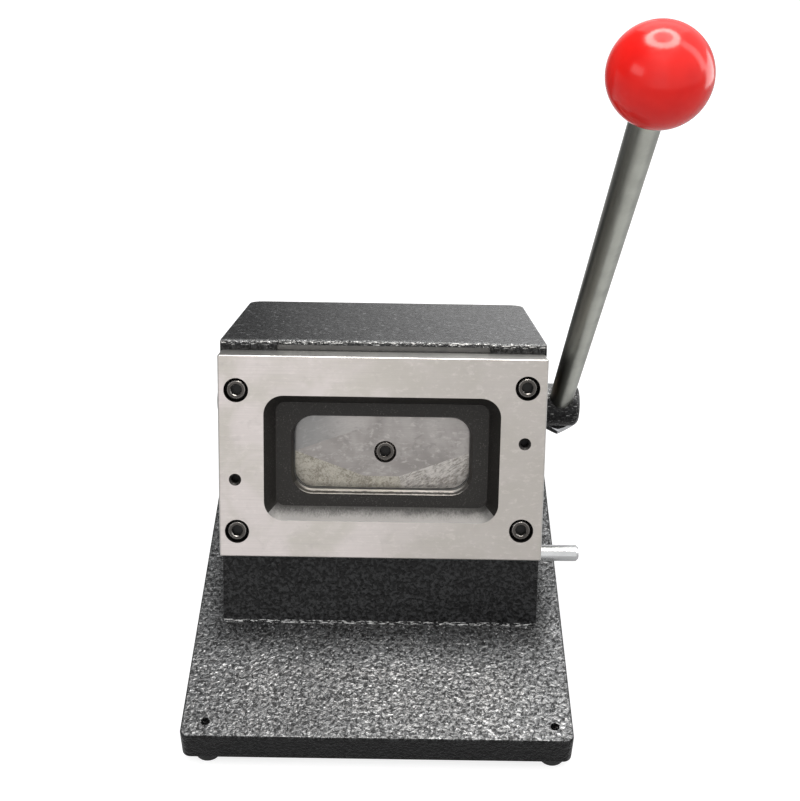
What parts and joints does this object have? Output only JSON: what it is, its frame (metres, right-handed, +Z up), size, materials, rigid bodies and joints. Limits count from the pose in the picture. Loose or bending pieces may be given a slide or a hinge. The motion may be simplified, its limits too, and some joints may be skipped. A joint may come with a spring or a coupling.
{
  "type": "card die cutter",
  "caption": "Desk press with a leaning head and a side lever; the lever drives a punch through a sheet in the slot and pushes a round-cornered card out through the window.",
  "frame": {"origin": "middle of the base plate's underside, at the height where the rubber feet are fixed; the feet reach below it", "axes": "+X to the lever's side, +Y to the back, +Z up; the user stands at -Y"},
  "size_m": [0.2018, 0.26, 0.3582],
  "materials": {
    "hammered_paint": "black hammered paint",
    "ground_steel": "ground tool steel",
    "punch_steel": "ground tool steel",
    "black_oxide": "black oxide",
    "satin_steel": "satin drawn rod",
    "bright_steel": "bright drawn rod",
    "zinc": "bright zinc plate",
    "grey_steel": "machined steel",
    "hard_steel": "hardened steel",
    "bronze": "turned bronze",
    "black_rubber": "moulded rubber",
    "red_plastic": "polished red plastic"
  },
  "bodies": {
    "frame": {"base_plate": "hammered_paint", "rubber_feet": "black_rubber", "foot_washers": "zinc", "foot_screws": "zinc", "housing": "hammered_paint", "housing_screws": "black_oxide", "rear_cover": "hammered_paint", "rear_cover_screws": "black_oxide", "guide_plate": "grey_steel", "guide_plate_screws": "grey_steel", "die_plate": "ground_steel", "die_screws": "black_oxide", "die_dowels": "hard_steel", "guide_pillars": "bright_steel", "pillar_collars": "grey_steel", "shaft_bush_left": "bronze", "shaft_bush_right": "bronze", "return_spring_left": "grey_steel", "return_spring_right": "grey_steel"},
    "lever": {"lever_shaft": "hammered_paint", "thrust_washer_left": "bronze", "thrust_washer_right": "bronze", "retaining_ring": "hard_steel", "drive_cam": "hard_steel", "cam_pin": "hard_steel", "lever_rod": "satin_steel", "lock_nut": "zinc", "ball_knob": "red_plastic"},
    "ram": {"punch": "punch_steel", "punch_screw": "black_oxide", "punch_dowels": "hard_steel", "ram_plate": "grey_steel", "ram_bush_left": "bronze", "ram_bush_right": "bronze", "follower_pad": "hard_steel"},
    "stop": {"stop_rod": "bright_steel"}
  },
  "joints": [
    {"name": "lever_hinge", "type": "hinge", "parent": "frame", "child": "lever", "pos_m": [0, 0.02865, 0.08868], "axis": [1, 0, 0], "range_deg": [0, 60], "stiffness_Nm_per_rad": 0.36, "springref_deg": -76.38},
    {"name": "ram_slide", "type": "slide", "parent": "frame", "child": "ram", "axis": [0, -0.891, 0.454], "range_m": [0, 0.0063], "deforming": ["return_spring_left", "return_spring_right"]},
    {"name": "stop_slide", "type": "slide", "parent": "frame", "child": "stop", "axis": [1, 0, 0], "range_m": [0, 0.115]}
  ],
  "couplings": [
    {"joint": "ram_slide", "follows": "lever_hinge", "m_per_rad": 0.006}
  ]
}
